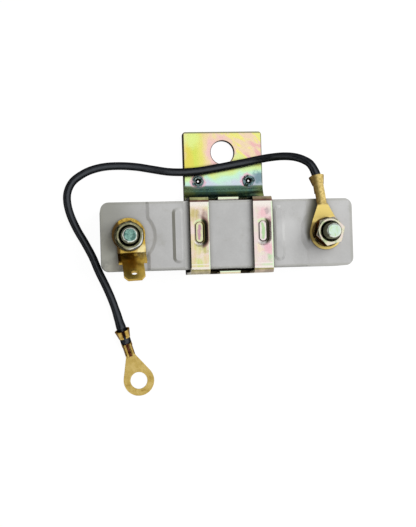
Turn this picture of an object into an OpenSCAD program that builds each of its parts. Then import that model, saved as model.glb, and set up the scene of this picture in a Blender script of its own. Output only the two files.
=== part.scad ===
// Ballast resistor: a ceramic trough body with a cemented coil, two terminal studs,
// a folded sheet bracket and a short lead. It lies on the bracket's back face, front upwards.
// X runs along the body, Y towards the mounting tab, Z out of the front face.

/* [Ceramic body] */
// Length of the ceramic body
body_l = 77.6; // [72:0.2:90]
// Width of the ceramic body
body_w = 20.8; // [19:0.2:26]
// Thickness of the ceramic body at its middle section
body_t = 14; // [12:0.5:18]
// Radius of the upright corners
body_corner_r = 2.5; // [1:0.25:3]
// Rounding of the front edges
body_edge_r = 0.6; // [0.3:0.1:1]
// Thickness of the front wall at the middle section
front_wall = 4; // [3:0.25:5]
// Thickness of the long side walls
side_wall = 2.4; // [1.8:0.2:3]
// Thickness of the end walls
end_wall = 2.6; // [2:0.2:3.4]
// Drop of the end pads below the middle section
pad_drop = 0.6; // [0.3:0.1:1]
// Distance from the stud axis to the straight edge of its pad
pad_edge = 5.4; // [5:0.1:7]
// Radius of the pad's bulge round the stud
pad_bulge_r = 7.5; // [7.2:0.1:9]
// Blend between the bulge and the straight edge
pad_blend_r = 3; // [2:0.5:4]
// Slope of the step round the pad, measured along the face
pad_flank = 1; // [0.4:0.1:1.2]
// Distance from the middle of the body to the ribs
rib_x = 15.5; // [15:0.1:17]
// Width of the raised ribs beside the straps
rib_w = 3.6; // [3:0.1:4.5]
// Length of the ribs
rib_l = 17; // [12:0.5:18]
// Height of the ribs above the middle section
rib_h = 0.5; // [0.3:0.1:0.6]
// Slope of the rib's flanks, measured along the face
rib_flank = 0.9; // [0.4:0.1:1.2]

/* [Resistance element] */
// Diameter of the resistance wire
coil_wire_d = 0.7; // [0.5:0.1:0.9]
// Mean diameter of the coil
coil_d = 7.2; // [6:0.2:8]
// Distance from one turn to the next
coil_pitch = 1.8; // [1.4:0.1:2.4]
// Number of whole turns
coil_turns = 24; // [16:1:27]
// Thickness of the lugs that join the coil to the studs
lug_t = 0.5; // [0.4:0.1:0.8]
// Diameter of the lug's eye
lug_d = 9; // [8.5:0.5:10]
// Width of the lug's tail
lug_tail_w = 3; // [2:0.5:4]
// Length by which the tail lies over the coil
lug_lap = 1.6; // [1:0.2:2.4]
// Depth of the cement's surface below the rim of the trough
cement_recess = 0.4; // [0.1:0.1:0.8]
// Play round the pieces that the cement encloses
cement_play = 0.05; // [0.02:0.01:0.1]

/* [Studs and nuts] */
// Thread diameter of the studs
stud_d = 5; // [4:1:5]
// Distance from the body's end to the stud axis
stud_inset = 8.3; // [7.5:0.1:11]
// Length of the stud in front of its pad
stud_reach = 9.5; // [8.5:0.5:14]
// Chamfer on the stud's end
stud_chamfer = 0.6; // [0.3:0.1:0.8]
// Depth of the thread's flank at the pitch line
thread_depth = 0.26; // [0.2:0.02:0.3]
// Clearance round the stud in the ceramic and in the terminals
stud_clear = 0.15; // [0.1:0.05:0.3]
// Width across flats of the nuts and stud heads
nut_af = 8; // [7:0.5:9]
// Height of the nuts
nut_h = 4; // [3.2:0.1:4.7]
// Height of the stud heads
head_h = 3.5; // [2.5:0.25:4]
// Thickness of the spring washers
washer_t = 1.2; // [0.8:0.1:1.6]
// Outer diameter of the spring washers
washer_d = 9; // [8:0.1:9.4]
// Diameter of the countersinks in the nuts' faces
nut_sink_d = 6.4; // [5.4:0.1:6.6]
// Width of the split in the spring washers
washer_split = 0.6; // [0.3:0.1:1]
// Turn of the right nut about its stud
right_nut_turn = 15; // [0:5:60]
// Turn of the left nut about its stud
left_nut_turn = 25; // [0:5:60]
// Turn of the right spring washer's split
right_split_turn = 205; // [0:5:355]
// Turn of the left spring washer's split
left_split_turn = 150; // [0:5:355]
// Slant of the splits
split_slant = 25; // [0:5:30]

/* [Bracket] */
// Thickness of the sheet
sheet_t = 0.8; // [0.6:0.1:1]
// Width of the bracket along the body
bracket_w = 25.4; // [22:0.2:28]
// Offset of the bracket from the middle of the body
bracket_shift = 0.6; // [0:0.1:1]
// Drop of the bracket on the body, away from the tab
bracket_drop = 0.25; // [0:0.05:0.3]
// Width of each strap over the front
strap_w = 5.9; // [5:0.1:7]
// Room beside the body, and the inside radius of the back's fold
side_room = 0.5; // [0.4:0.1:1]
// Inside radius of the straps' folds
fold_r = 0.8; // [0.5:0.1:1]
// Radius of the concave bend between the top web and the tab
tab_bend_r = 4.8; // [3:0.2:5]
// Gap between the two layers of the tab
layer_gap = 0.1; // [0.05:0.05:0.2]
// Reach of the tab beyond the top web
tab_reach = 21.9; // [19:0.1:30]
// Radius of the tab's corners
tab_corner_r = 1; // [0.5:0.25:3]
// Diameter of the mounting hole
hole_d = 7.5; // [5:0.5:8]
// Distance from the tab's end to the centre of the mounting hole
hole_inset = 6.6; // [6:0.1:8]
// Distance from the top web to the clinches that hold the layers together
clinch_reach = 6.1; // [5:0.1:8]
// Distance between the two clinches
clinch_spacing = 16.2; // [12:0.2:18]
// Outer diameter of a clinch's collar
clinch_d = 3.6; // [3:0.1:4]
// Diameter of the hole through a clinch
clinch_hole_d = 0.9; // [0.8:0.1:2]
// Height of the collar above the tab
clinch_h = 0.5; // [0.3:0.1:0.8]
// Width of the lips between the straps
lip_w = 6.3; // [5:0.1:8]
// Offset of the lips from the middle of the bracket
lip_shift = -0.4; // [-0.6:0.1:0.6]
// Drop of the lips' edges below the front face
lip_drop = 1; // [0.5:0.25:3]
// Depth of the notches beside the lips
notch_depth = 7; // [2:0.5:7]
// Length of the oval recess in each strap
recess_l = 7; // [5:0.1:9]
// Width of the oval recess
recess_w = 3.1; // [2.4:0.1:3.2]
// Depth to which the recess is pressed in
recess_depth = 0.6; // [0.3:0.1:0.8]
// Slope of the recess's flanks, measured along the strap
recess_flank = 0.55; // [0.2:0.05:0.6]
// Width of the shallow dip round the recess
dip_w = 1; // [0.4:0.1:1.2]
// Depth of that dip at the recess
dip_depth = 0.25; // [0.05:0.05:0.3]
// Offset of the recess from the middle of the strap
recess_offset = 1; // [0:0.1:2]

/* [Blade terminal] */
// Thickness of the blade terminal
blade_t = 0.8; // [0.6:0.1:1]
// Diameter of the blade terminal's eye
blade_eye_d = 10; // [9.4:0.2:11]
// Diameter of the hole in the eye
blade_hole_d = 6.4; // [6.4:0.1:7]
// Shift of the eye on its stud, away from the blade
blade_shift = 0.6; // [0:0.1:0.6]
// Width of the shank up to the shoulders
shank_w = 8.5; // [7.5:0.1:8.8]
// Offset of the shank and the blade from the middle of the eye
shank_shift = 0.6; // [0:0.1:0.6]
// Distance from the middle of the eye to the bend
blade_bend_reach = 5.4; // [5.3:0.1:6.5]
// Inside radius of the bend
blade_bend_r = 0.6; // [0.4:0.1:1]
// Angle by which the blade is bent up
blade_angle = 50; // [20:5:75]
// Length of the bent shank up to the shoulders
shank_l = 3.9; // [3:0.1:6]
// Width of the blade
blade_w = 6.3; // [4.8:0.1:6.3]
// Length of the blade
blade_l = 7.8; // [7:0.1:10]
// Chamfer of the blade's tip
blade_chamfer = 1.6; // [1:0.1:2]
// Diameter of the catch hole in the blade
catch_d = 1.8; // [1.5:0.1:2.2]
// Distance from the blade's tip to the catch hole
catch_inset = 2.8; // [2.4:0.1:3.6]
// Part of the chamfer's length that the tip loses on each side
chamfer_ratio = 0.7; // [0.5:0.1:1]
// Turn of the blade terminal about its stud
blade_turn = 2.5; // [0:0.5:20]

/* [Lead and ring terminals] */
// Diameter of the lead over its insulation
lead_d = 2.5; // [1.8:0.1:2.6]
// Diameter of the stranded conductor
strand_d = 1; // [0.8:0.1:1.1]
// Thickness of the ring terminals' sheet
ring_t = 0.5; // [0.4:0.1:0.6]
// Outer diameter of the free ring
ring_d = 9.6; // [9:0.1:10]
// Outer diameter of the ring on the stud
stud_ring_d = 10.2; // [9.4:0.1:11]
// Diameter of the hole in the ring on the stud
stud_ring_hole_d = 5.8; // [5.8:0.1:6.2]
// Shift of the ring on the stud along the body
stud_ring_x = -0.2; // [-0.2:0.05:0.2]
// Shift of the ring on the stud across the body
stud_ring_y = -0.25; // [-0.25:0.05:0.25]
// Angle round the ring at which the tongue leaves it
shoulder_angle = 25; // [15:5:40]
// Width of the tongue where the barrel begins
neck_w = 3.1; // [2.8:0.1:3.4]
// Length of the conductor crimp
strand_crimp_l = 3.9; // [3:0.1:5]
// Height of the conductor crimp
strand_crimp_h = 1.65; // [1.6:0.05:1.8]
// Distance from the crimp's middle to the centre of each rolled wing
lobe_offset = 0.9; // [0.8:0.05:1]
// Thickening of the crimp's floor under the strands
crimp_floor = 0.05; // [0.05:0.05:0.2]
// Length of bare strands between the crimp and the insulation
bare_l = 0.3; // [0.1:0.1:0.8]
// Length of the gap between the two crimps
crimp_gap = 2.3; // [1:0.1:2.5]
// Height of the channel that bridges the gap
bridge_h = 1.5; // [1:0.1:1.6]
// Inset of the channel's wall from the crimps' outer faces
bridge_inset = 0.1; // [0.05:0.01:0.15]
// Length of the insulation crimp
grip_l = 2.6; // [2.5:0.1:4.5]
// Flare of the insulation crimp's mouth, on the radius
grip_flare = 0.6; // [0.3:0.1:1]
// Opening between the insulation crimp's wings at its inner end
slit_w = 0.7; // [0.25:0.05:0.8]
// Opening between the wings at the mouth
slit_mouth_w = 1; // [0.4:0.1:2]
// Play between the lead and the insulation crimp
grip_play = 0.05; // [0.03:0.01:0.1]
// Distance from the middle of the ring on the stud to its barrel
stud_tongue_l = 8.9; // [8.5:0.1:10]
// Rise of that tongue from the pad, so that the barrel clears the body
tongue_lift = 1.2; // [1.2:0.05:1.6]
// Turn of the terminal on the stud
stud_terminal_turn = 7.5; // [0:0.5:15]
// Distance from the ring's centre to the barrel of the free terminal
free_tongue_l = 8.1; // [7.5:0.1:10]
// Place of the free ring's centre along the body
free_ring_x = -27.9; // [-32:0.1:-20]
// Place of the free ring's centre across the body
free_ring_y = -44.7; // [-50:0.1:-40]
// Turn of the free terminal
free_terminal_turn = 17; // [10:1:25]

/* [Hidden] */
$fn = 48;
// Overrun of the cutting shapes past what they cut
over = 1;
// Overrun of a sloping cut past the face that it opens into, and lap of two joined stretches
skim = 0.01;
// Overrun of the pad's blends past the edges that they join
blend_lap = 0.05;
// Part of the nut's width that its flat end faces take
nut_face_ratio = 0.95;
// Margin of flat tongue round the washer
washer_margin = 0.35;

// Heights, from the bracket's back face at zero
body_back = sheet_t;
body_front = body_back + body_t;
pad_z = body_front - pad_drop;
trough_top = body_front - front_wall;
strap_in_z = body_front + recess_depth;
strap_out_z = strap_in_z + sheet_t;
tab_layer_z = sheet_t + layer_gap;
tab_front_z = tab_layer_z + sheet_t;
lip_z = body_front - lip_drop;

// Places along and across the body
stud_x = body_l / 2 - stud_inset;
web_in = body_w / 2 + side_room;
web_out = web_in + sheet_t;
tab_end = web_out + tab_reach;
hole_y = tab_end - hole_inset;
clinch_y = web_out + clinch_reach;
strap_x = bracket_w / 2 - strap_w / 2;
strap_inner_x = bracket_w / 2 - strap_w;

// Stud, nut and washer
stud_hole_r = stud_d / 2 + stud_clear;
pitch_r = stud_d / 2 - thread_depth;
nut_corner_r = nut_af / 2 / cos(30);
nut_face_r = nut_face_ratio * nut_af / 2;
nut_chamfer = (nut_corner_r - nut_face_r) * tan(30);
stud_end_z = pad_z + stud_reach;
head_z = trough_top - lug_t - head_h;

// Coil
coil_r = coil_d / 2;
coil_run = coil_turns * coil_pitch;
coil_z = trough_top - lug_t - coil_r - coil_wire_d / 2;
coil_steps = 12;
coil_sides = 6;

// Ring terminals, measured along the barrel's axis
lead_r = lead_d / 2;
grip_in_r = lead_r + grip_play;
grip_out_r = grip_in_r + ring_t;
grip_tilt = atan(grip_flare / grip_l);
lead_axis = grip_out_r;
strand_axis = ring_t + crimp_floor + strand_d / 2;
strand_lobe_r = neck_w / 2 - lobe_offset;
barrel_l = strand_crimp_l + crimp_gap + grip_l * cos(grip_tilt);
insulation_start = strand_crimp_l + bare_l;
tongue_flat = washer_d / 2 + washer_margin;
stud_lead_z = pad_z + ring_t + tongue_lift - lead_axis;

// Route of the lead from the mouth of one barrel to the mouth of the other
lead_sides = 8;
lead_route = [
    [26.4, 20.8, 13.9], [24.4, 22.5, 13.1], [21.8, 23.7, 11.4], [18.7, 24.3, 8.9],
    [15.3, 24.35, 6.2], [11.3, 23.9, 4.25], [6.5, 23.05, 3.3], [1.6, 22.2, 3.05],
    [-3, 21.4, 3.05], [-7.4, 20.75, 3.05], [-12, 20.45, 3], [-17, 20.7, 2.6],
    [-21.9, 21.6, 1.9], [-26.8, 22.5, 1.5], [-31.8, 22.9, 1.3], [-36.8, 22.7, 1.3],
    [-41.1, 21.7, 1.3], [-44.4, 20.1, 1.3], [-47, 18, 1.3], [-48.5, 15, 1.3],
    [-48.7, 11.7, 1.3], [-47.8, 7.7, 1.3], [-45.9, 3.2, 1.3], [-43.5, -1.2, 1.3],
    [-41.35, -5.5, 1.3], [-39.5, -10.2, 1.3], [-37.45, -14.7, 1.3], [-35.77, -18.87, 1.3],
    [-34.5, -22.7, 1.4], [-33.6, -26, 1.65]
];

// A point on a barrel's axis, at a distance from its ring's centre
function barrel_point(centre, turn, along, z) =
    [centre[0] - along * sin(turn), centre[1] + along * cos(turn), z];
function stud_barrel(along) =
    barrel_point([stud_x + stud_ring_x, stud_ring_y], stud_terminal_turn,
        stud_tongue_l + along, stud_lead_z);
function free_barrel(along) =
    barrel_point([free_ring_x, free_ring_y], free_terminal_turn, free_tongue_l + along, lead_axis);

lead_path = concat(
    [stud_barrel(insulation_start), stud_barrel(barrel_l)],
    lead_route,
    [free_barrel(barrel_l), free_barrel(insulation_start)]
);

// Sweeping a round section along a path

function unit(v) = v / norm(v);
function heading(path, i) =
    unit(path[min(i + 1, len(path) - 1)] - path[max(i - 1, 0)]);
function section_point(centre, ahead, up, r, angle) =
    let (side = unit(cross(ahead, up)), rise = cross(side, ahead))
    centre + r * (cos(angle) * side + sin(angle) * rise);

// A tube along the path, with flat ends; up is a direction that the path never takes
module tube(path, r, sides, up) {
    rings = len(path);
    points = [
        for (i = [0 : rings - 1], k = [0 : sides - 1])
            section_point(path[i], heading(path, i), up, r, 360 * k / sides)
    ];
    walls = [
        for (i = [0 : rings - 2], k = [0 : sides - 1])
            let (a = i * sides + k, b = i * sides + (k + 1) % sides)
            each [[a, b, a + sides], [b, b + sides, a + sides]]
    ];
    first = [for (k = [sides - 1 : -1 : 0]) k];
    last = [for (k = [0 : sides - 1]) (rings - 1) * sides + k];
    polyhedron(points, concat(walls, [first, last]), convexity = 10);
}

// Plain shapes that several pieces use

// A rectangle with round corners, centred
module rounded_plan(l, w, r) {
    square([l - 2 * r, w], center = true);
    square([l, w - 2 * r], center = true);
    for (x = [-1, 1], y = [-1, 1])
        translate([x * (l / 2 - r), y * (w / 2 - r)]) circle(r);
}

// An upright section with round upper edges
module crowned_section(w, h, r) {
    translate([-w / 2, 0]) square([w, h - r]);
    translate([r - w / 2, 0]) square([w - 2 * r, h]);
    for (side = [-1, 1])
        translate([side * (w / 2 - r), h - r]) circle(r);
}

// A long form with round ends and sloping flanks, centred, rising from zero
module sloped_oval(length, low_w, high_w, h) {
    run = length - max(low_w, high_w);
    for (end = [0, 1])
        mirror([0, end, 0]) translate([0, run / 2, 0])
            rotate_extrude(angle = 180)
                polygon([[0, 0], [low_w / 2, 0], [high_w / 2, h], [0, h]]);
    rotate([90, 0, 0]) linear_extrude(run, center = true)
        polygon([[-low_w / 2, 0], [low_w / 2, 0], [high_w / 2, h], [-high_w / 2, h]]);
}

module hexagon(across_flats) {
    circle(d = across_flats / cos(30), $fn = 6);
}

// Ceramic body

// The room over the pad at one end: a straight edge, a bulge round the stud and blends between
// them. Its flank slopes from the pad up to the middle section.
module pad_room() {
    far = body_l / 2 - stud_x + over;
    blend_x = -pad_edge - pad_blend_r;
    blend_y = sqrt(pow(pad_bulge_r + pad_blend_r, 2) - pow(blend_x, 2));
    meet = [blend_x, blend_y] * pad_bulge_r / (pad_bulge_r + pad_blend_r);
    rotate([90, 0, 0]) linear_extrude(2 * body_w, center = true)
        polygon([
            [far, 0], [-pad_edge, 0], [-pad_edge - pad_flank, pad_drop],
            [-pad_edge - pad_flank, pad_drop + over], [far, pad_drop + over]
        ]);
    cylinder(r1 = pad_bulge_r, r2 = pad_bulge_r + pad_flank, h = pad_drop);
    for (side = [0, 1]) mirror([0, side, 0]) difference() {
        linear_extrude(pad_drop)
            polygon([[-pad_edge, blend_y], [blend_x, blend_y], meet, [-pad_edge, 0]]);
        translate([blend_x, blend_y, 0])
            cylinder(r1 = pad_blend_r + blend_lap, r2 = pad_blend_r - pad_flank + blend_lap,
                h = pad_drop);
    }
}

// A block with the body's plan and round front edges, from the rim to a height
module body_block(h) {
    intersection() {
        linear_extrude(h) rounded_plan(body_l, body_w, body_corner_r);
        rotate([90, 0, 0]) linear_extrude(body_w + over, center = true)
            crowned_section(body_l, h, body_edge_r);
        rotate([90, 0, 90]) linear_extrude(body_l + over, center = true)
            crowned_section(body_w, h, body_edge_r);
    }
}

module trough_plan() {
    rounded_plan(body_l - 2 * end_wall, body_w - 2 * side_wall, body_corner_r);
}

module ceramic_body() {
    color("darkgray") difference() {
        union() {
            translate([0, 0, body_back]) body_block(body_t - pad_drop);
            difference() {
                translate([0, 0, body_back]) body_block(body_t);
                for (end = [0, 1])
                    mirror([end, 0, 0]) translate([stud_x, 0, pad_z]) pad_room();
            }
            for (side = [-1, 1])
                translate([side * rib_x, 0, body_front])
                    sloped_oval(rib_l, rib_w, rib_w - 2 * rib_flank, rib_h);
        }
        translate([0, 0, body_back - over])
            linear_extrude(trough_top - body_back + over) trough_plan();
        for (side = [-1, 1])
            translate([side * stud_x, 0, trough_top - over])
                cylinder(r = stud_hole_r, h = front_wall + 2 * over);
    }
}

// Resistance element

module coil_lug_plan(play) {
    tail_l = stud_x - coil_run / 2 + lug_lap;
    circle(d = lug_d + 2 * play);
    translate([-tail_l - play, -lug_tail_w / 2 - play])
        square([tail_l, lug_tail_w + 2 * play]);
}

module coil_lug(end) {
    mirror([end, 0, 0]) translate([stud_x, 0, trough_top - lug_t])
        linear_extrude(lug_t) difference() {
            coil_lug_plan(0);
            circle(stud_hole_r);
        }
}

module left_coil_lug() {
    color("silver") coil_lug(1);
}

module right_coil_lug() {
    color("silver") coil_lug(0);
}

// The helix starts and ends at the top of a turn, against the lugs' tails
module resistance_coil() {
    path = [
        for (i = [0 : coil_turns * coil_steps])
            let (angle = 360 * i / coil_steps)
            [
                coil_pitch * i / coil_steps - coil_run / 2,
                coil_r * sin(angle),
                coil_z + coil_r * cos(angle)
            ]
    ];
    color("dimgray") tube(path, coil_wire_d / 2, coil_sides, [1, 0, 0]);
}

// The cement fills the trough round the coil, the lugs and the stud heads
module cement_filling() {
    wire_room = coil_wire_d / 2 + cement_play;
    room_l = coil_run + coil_wire_d + 2 * cement_play;
    color("lightgray") difference() {
        translate([0, 0, body_back + cement_recess])
            linear_extrude(trough_top - body_back - cement_recess) trough_plan();
        for (end = [0, 1]) mirror([end, 0, 0]) translate([stud_x, 0, 0]) {
            translate([0, 0, trough_top - lug_t - cement_play])
                linear_extrude(lug_t + cement_play + over) coil_lug_plan(cement_play);
            translate([0, 0, head_z - cement_play])
                linear_extrude(trough_top - head_z) hexagon(nut_af + 2 * cement_play);
        }
        translate([-room_l / 2, 0, coil_z]) rotate([0, 90, 0]) difference() {
            cylinder(r = coil_r + wire_room, h = room_l);
            translate([0, 0, -over])
                cylinder(r = coil_r * cos(180 / coil_steps) - wire_room, h = room_l + 2 * over);
        }
    }
}

// Studs, washers and nuts

// A stud with its head inside the body. Inside the nut it is drawn at the pitch line,
// where the flanks of the two threads meet.
module stud(side, terminal_t) {
    r = stud_d / 2;
    nut_z = pad_z + terminal_t + washer_t;
    translate([side * stud_x, 0, 0]) {
        translate([0, 0, head_z]) linear_extrude(head_h) hexagon(nut_af);
        rotate_extrude() polygon([
            [0, head_z], [r, head_z], [r, nut_z], [pitch_r, nut_z],
            [pitch_r, nut_z + nut_h], [r, nut_z + nut_h],
            [r, stud_end_z - stud_chamfer], [r - stud_chamfer, stud_end_z], [0, stud_end_z]
        ]);
    }
}

module left_stud() {
    color("khaki") stud(-1, blade_t);
}

module right_stud() {
    color("khaki") stud(1, ring_t);
}

module spring_washer(side, terminal_t, turn) {
    inner_r = stud_hole_r;
    section_w = washer_d / 2 - inner_r;
    translate([side * stud_x, 0, pad_z + terminal_t]) rotate([0, 0, turn]) difference() {
        rotate_extrude() translate([inner_r, 0]) square([section_w, washer_t]);
        translate([inner_r - over, 0, washer_t / 2]) rotate([split_slant, 0, 0])
            translate([0, -washer_split / 2, -washer_t])
                cube([section_w + 2 * over, washer_split, 2 * washer_t]);
    }
}

module left_spring_washer() {
    color("darkkhaki") spring_washer(-1, blade_t, left_split_turn);
}

module right_spring_washer() {
    color("darkkhaki") spring_washer(1, ring_t, right_split_turn);
}

module nut(side, terminal_t, turn) {
    sink = nut_sink_d / 2 - pitch_r;
    translate([side * stud_x, 0, pad_z + terminal_t + washer_t]) rotate([0, 0, turn])
        intersection() {
            linear_extrude(nut_h) hexagon(nut_af);
            rotate_extrude() polygon([
                [pitch_r, sink], [pitch_r + sink, 0], [nut_face_r, 0],
                [nut_corner_r, nut_chamfer], [nut_corner_r, nut_h - nut_chamfer],
                [nut_face_r, nut_h], [pitch_r + sink, nut_h], [pitch_r, nut_h - sink]
            ]);
        }
}

module left_nut() {
    color("palegoldenrod") nut(-1, blade_t, left_nut_turn);
}

module right_nut() {
    color("palegoldenrod") nut(1, ring_t, right_nut_turn);
}

// Bracket

// A quarter of a fold, in the quadrant given by the signs of its corner
module fold(centre, inner_r, corner) {
    outer_r = inner_r + sheet_t;
    translate(centre) intersection() {
        difference() {
            circle(outer_r);
            circle(inner_r);
        }
        translate([min(corner[0], 0), min(corner[1], 0)] * outer_r) square(outer_r);
    }
}

// A straight stretch of sheet between two corners
module run(from, to) {
    translate(from) square(to - from);
}

// The band's section: round the body, then up the tab in two layers
module band_section() {
    back_y = web_in - side_room;
    flat_y = web_in - fold_r;
    run([-back_y, 0], [tab_end, sheet_t]);
    fold([-back_y, sheet_t + side_room], side_room, [-1, -1]);
    run([-web_out, sheet_t + side_room], [-web_in, strap_in_z - fold_r]);
    fold([-flat_y, strap_in_z - fold_r], fold_r, [-1, 1]);
    run([-flat_y, strap_in_z], [flat_y, strap_out_z]);
    fold([flat_y, strap_in_z - fold_r], fold_r, [1, 1]);
    run([web_in, tab_front_z + tab_bend_r], [web_out, strap_in_z - fold_r]);
    fold([web_out + tab_bend_r, tab_front_z + tab_bend_r], tab_bend_r, [-1, -1]);
    run([web_out + tab_bend_r, tab_layer_z], [tab_end, tab_front_z]);
}

// The window that leaves two straps, and the notches that leave a lip in each web
module window_cut() {
    across = 2 * (web_out + over);
    translate([-strap_inner_x, -across / 2, lip_z])
        cube([2 * strap_inner_x, across, strap_out_z]);
    for (side = [0, 1]) mirror([side, 0, 0]) {
        lip_edge = lip_w / 2 + (1 - 2 * side) * lip_shift;
        translate([lip_edge, -across / 2, lip_z - notch_depth])
            cube([strap_inner_x - lip_edge, across, strap_out_z]);
    }
}

// The corner of the tab that is rounded away
module tab_corner_cut() {
    translate([bracket_w / 2, tab_end, -over]) difference() {
        translate([-tab_corner_r, -tab_corner_r, 0])
            cube([tab_corner_r + over, tab_corner_r + over, tab_front_z + 2 * over]);
        translate([-tab_corner_r, -tab_corner_r, -over])
            cylinder(r = tab_corner_r, h = tab_front_z + 4 * over);
    }
}

// A clinch: the sheet of both layers drawn through and turned over as a collar
module clinch() {
    bridge_r = (clinch_d + clinch_hole_d) / 4;
    translate([0, 0, sheet_t / 2]) cylinder(r = bridge_r, h = tab_layer_z);
    translate([0, 0, tab_front_z - sheet_t / 2])
        cylinder(d = clinch_d, h = sheet_t / 2 + clinch_h);
}

module clinch_hole() {
    bridge_r = (clinch_d + clinch_hole_d) / 4;
    translate([0, 0, -over]) cylinder(d = clinch_hole_d, h = tab_front_z + clinch_h + 2 * over);
    cylinder(r1 = bridge_r, r2 = clinch_hole_d / 2, h = sheet_t);
    translate([0, 0, tab_front_z + clinch_h - sheet_t / 2])
        cylinder(r1 = clinch_hole_d / 2, r2 = bridge_r, h = sheet_t / 2 + skim);
}

module bracket() {
    floor_w = recess_w - 2 * recess_flank;
    boss_w = recess_w + recess_flank;
    color("gold") translate([bracket_shift, -bracket_drop, 0]) difference() {
        union() {
            difference() {
                rotate([90, 0, 90]) linear_extrude(bracket_w, center = true) band_section();
                window_cut();
                for (side = [0, 1]) mirror([side, 0, 0]) tab_corner_cut();
            }
            for (side = [-1, 1]) {
                translate([side * strap_x, recess_offset, body_front])
                    sloped_oval(recess_l + recess_flank, floor_w + recess_flank, boss_w,
                        recess_depth + sheet_t / 2);
                translate([side * clinch_spacing / 2, clinch_y, 0]) clinch();
            }
        }
        for (side = [-1, 1]) {
            translate([side * strap_x, recess_offset, 0]) {
                translate([0, 0, strap_out_z - recess_depth])
                    sloped_oval(recess_l, floor_w, recess_w, recess_depth + skim);
                translate([0, 0, strap_out_z - dip_depth])
                    sloped_oval(recess_l + 2 * dip_w, recess_w, recess_w + 2 * dip_w,
                        dip_depth + skim);
            }
            translate([side * clinch_spacing / 2, clinch_y, 0]) clinch_hole();
        }
        translate([0, hole_y, -over]) cylinder(d = hole_d, h = tab_front_z + 2 * over);
    }
}

// Blade terminal

module blade_terminal() {
    outer_r = blade_bend_r + blade_t;
    color("goldenrod") translate([-stud_x, 0, pad_z]) rotate([0, 0, blade_turn])
        translate([0, blade_shift, 0]) {
            linear_extrude(blade_t) difference() {
                union() {
                    circle(d = blade_eye_d);
                    translate([shank_shift - shank_w / 2, -blade_bend_reach])
                        square([shank_w, blade_bend_reach]);
                }
                circle(d = blade_hole_d);
            }
            translate([shank_shift, -blade_bend_reach, outer_r]) {
                rotate([90, 0, 90]) linear_extrude(shank_w, center = true)
                    blade_bend_section();
                rotate([-blade_angle, 0, 0]) translate([0, 0, -outer_r])
                    linear_extrude(blade_t) blade_plan();
            }
        }
}

// The part of a ring that the bend takes up, in the plane across the bend
module blade_bend_section() {
    outer_r = blade_bend_r + blade_t;
    far = 2 * outer_r;
    intersection() {
        difference() {
            circle(outer_r);
            circle(blade_bend_r);
        }
        polygon([[0, 0], [0, -far], [-far * sin(blade_angle), -far * cos(blade_angle)]]);
    }
}

module blade_plan() {
    tip = -shank_l - blade_l;
    tip_w = blade_w / 2 - blade_chamfer * chamfer_ratio;
    difference() {
        union() {
            translate([-shank_w / 2, -shank_l]) square([shank_w, shank_l + skim]);
            polygon([
                [-blade_w / 2, -shank_l], [-blade_w / 2, tip + blade_chamfer],
                [-tip_w, tip], [tip_w, tip],
                [blade_w / 2, tip + blade_chamfer], [blade_w / 2, -shank_l]
            ]);
        }
        translate([0, tip + catch_inset]) circle(d = catch_d);
    }
}

// Ring terminals

// Outline of the ring and its tongue
module ring_plan(d, tongue_l) {
    shoulder_x = d / 2 * cos(shoulder_angle);
    shoulder_y = d / 2 * sin(shoulder_angle);
    circle(d = d);
    polygon([
        [-shoulder_x, shoulder_y], [shoulder_x, shoulder_y],
        [neck_w / 2, tongue_l], [-neck_w / 2, tongue_l]
    ]);
}

// Side view of the ring and tongue, flat under the washer and then rising by the lift
module tongue_side(d, tongue_l, lift) {
    polygon([
        [-d, 0], [tongue_flat, 0], [tongue_l, -lift],
        [tongue_l, ring_t - lift], [tongue_flat, ring_t], [-d, ring_t]
    ]);
}

// Two wings rolled in onto the strands, over a round back
module strand_crimp_section() {
    lobe_z = strand_crimp_h - strand_lobe_r;
    difference() {
        union() {
            intersection() {
                translate([0, neck_w / 2]) circle(d = neck_w);
                translate([-neck_w / 2, 0]) square([neck_w, lobe_z]);
            }
            for (side = [-1, 1])
                translate([side * lobe_offset, lobe_z]) circle(strand_lobe_r);
        }
        translate([0, strand_axis]) circle(d = strand_d);
    }
}

// The open channel between the two crimps
module bridge_section() {
    intersection() {
        translate([0, lead_axis]) difference() {
            circle(grip_out_r - bridge_inset);
            circle(grip_in_r + bridge_inset / 2);
        }
        translate([-grip_out_r, 0]) square([2 * grip_out_r, bridge_h]);
    }
}

// Two wings round the insulation, open along the top and flared towards the mouth
module insulation_crimp() {
    length = norm([grip_l, grip_flare]);
    difference() {
        translate([0, 0, grip_out_r * cos(grip_tilt)]) rotate([grip_tilt - 90, 0, 0]) difference() {
            cylinder(r1 = grip_out_r, r2 = grip_out_r + grip_flare, h = grip_l);
            cylinder(r1 = grip_in_r, r2 = grip_in_r + grip_flare, h = grip_l);
            translate([0, 0, -over]) cylinder(r = grip_in_r, h = over + skim);
            translate([0, 0, grip_l - skim]) cylinder(r = grip_in_r + grip_flare, h = over);
        }
        translate([0, 0, lead_axis]) linear_extrude(ring_d)
            polygon([
                [-slit_w / 2, -over], [slit_w / 2, -over],
                [slit_mouth_w / 2, length + over], [-slit_mouth_w / 2, length + over]
            ]);
    }
}

// The ring lies at the origin with its wings upwards and its barrel along Y
module ring_terminal(d, hole_r, tongue_l, lift) {
    grip_start = strand_crimp_l + crimp_gap;
    intersection() {
        linear_extrude(2 * (lift + ring_t), center = true) difference() {
            ring_plan(d, tongue_l);
            circle(hole_r);
        }
        rotate([90, 0, 90]) linear_extrude(d + over, center = true)
            tongue_side(d, tongue_l, lift);
    }
    translate([0, tongue_l, -lift]) {
        translate([0, strand_crimp_l, 0]) rotate([90, 0, 0])
            linear_extrude(strand_crimp_l) strand_crimp_section();
        translate([0, grip_start + ring_t, 0]) rotate([90, 0, 0])
            linear_extrude(crimp_gap + 2 * ring_t) bridge_section();
        translate([0, grip_start, 0]) insulation_crimp();
    }
}

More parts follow.
